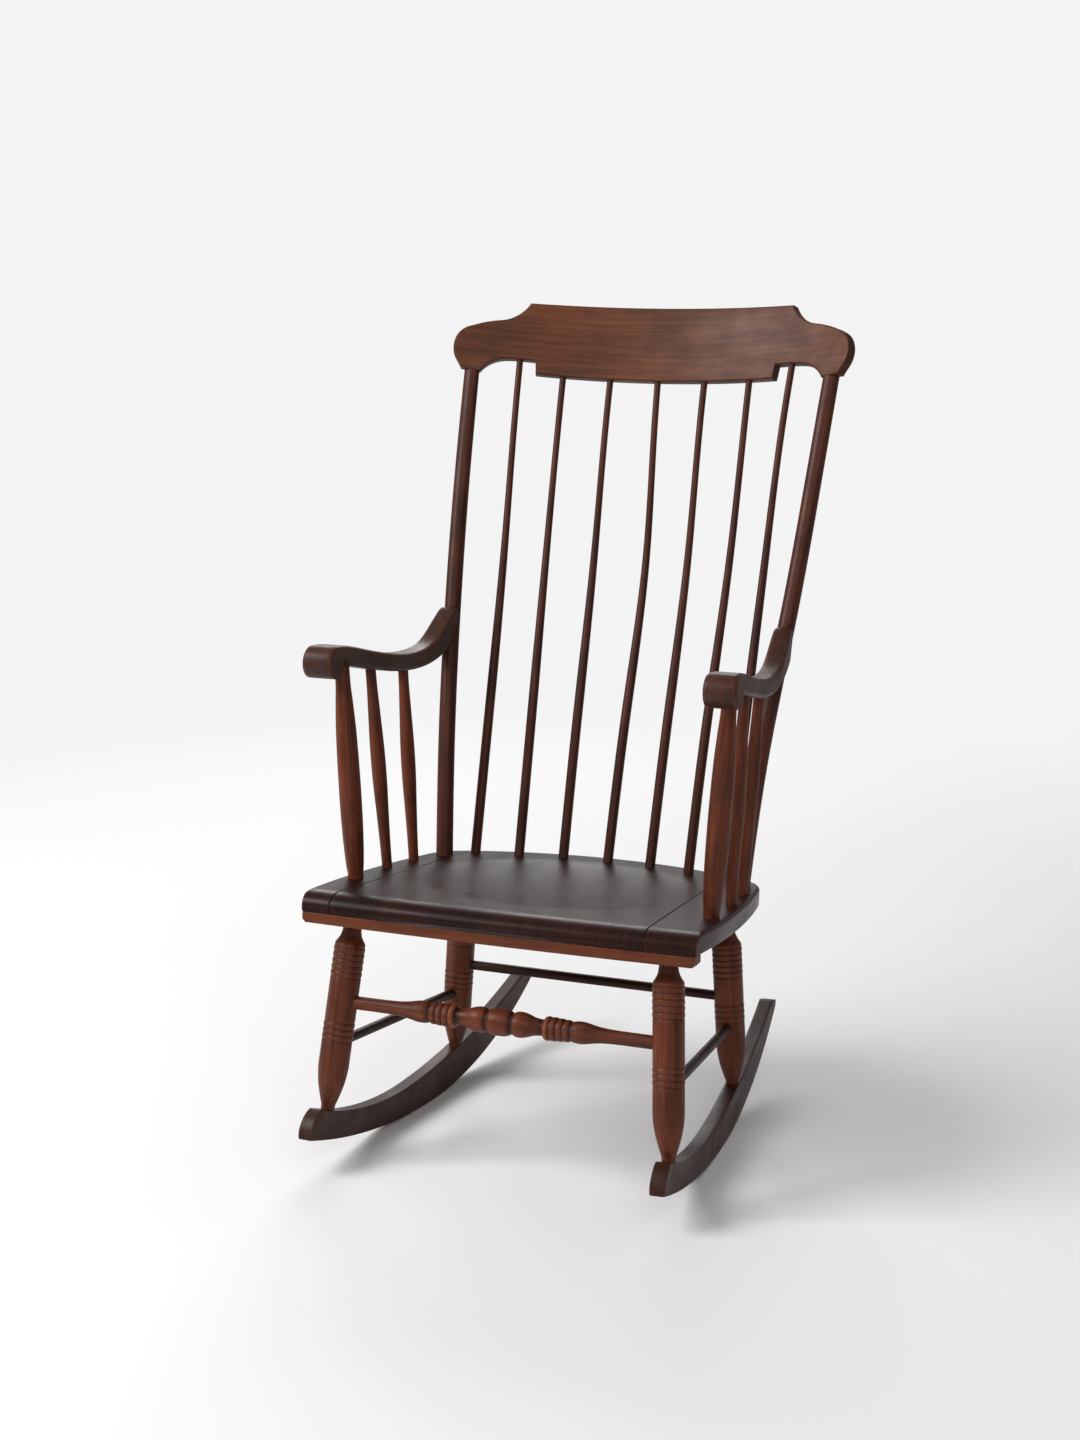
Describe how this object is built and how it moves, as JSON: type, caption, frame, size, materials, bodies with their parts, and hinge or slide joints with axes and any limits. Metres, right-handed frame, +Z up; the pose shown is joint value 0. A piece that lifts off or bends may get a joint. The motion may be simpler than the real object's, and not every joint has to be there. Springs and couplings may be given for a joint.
{
  "type": "rocking chair",
  "caption": "Wooden rocking chair with a rolled plank seat, turned legs, scrolled arms, a high spindle back with a bent crest rail, and curved rockers.",
  "frame": {"origin": "on the floor, below the middle of the chair's bounding box", "axes": "+Z up, the sitter faces -Y, +X to the viewer's right when looking at the front"},
  "size_m": [0.5942, 0.6974, 1.093],
  "materials": {
    "seat_wood": "dark walnut stain, satin varnish",
    "strip_wood": "dark walnut stain, satin varnish",
    "crest_wood": "dark walnut stain, satin varnish",
    "stick_wood": "dark walnut stain, satin varnish",
    "arm_wood": "dark walnut stain, satin varnish",
    "turned_wood": "dark walnut stain, satin varnish",
    "rocker_wood": "dark walnut stain, satin varnish"
  },
  "bodies": {
    "root": {"seat_left_board": "seat_wood", "seat_centre_board": "seat_wood", "seat_right_board": "seat_wood", "seat_front_strip": "strip_wood", "crest_rail": "crest_wood", "back_post_left": "stick_wood", "arm_left": "arm_wood", "arm_post_left": "turned_wood", "arm_spindle_front_left": "turned_wood", "arm_spindle_rear_left": "turned_wood", "leg_front_left": "turned_wood", "leg_rear_left": "turned_wood", "side_stretcher_left": "turned_wood", "rocker_left": "rocker_wood", "back_post_right": "stick_wood", "arm_right": "arm_wood", "arm_post_right": "turned_wood", "arm_spindle_front_right": "turned_wood", "arm_spindle_rear_right": "turned_wood", "leg_front_right": "turned_wood", "leg_rear_right": "turned_wood", "side_stretcher_right": "turned_wood", "rocker_right": "rocker_wood", "back_spindle_1": "stick_wood", "back_spindle_2": "stick_wood", "back_spindle_3": "stick_wood", "back_spindle_4": "stick_wood", "back_spindle_5": "stick_wood", "back_spindle_6": "stick_wood", "back_spindle_7": "stick_wood", "front_stretcher": "turned_wood", "rear_stretcher": "turned_wood"}
  },
  "joints": []
}
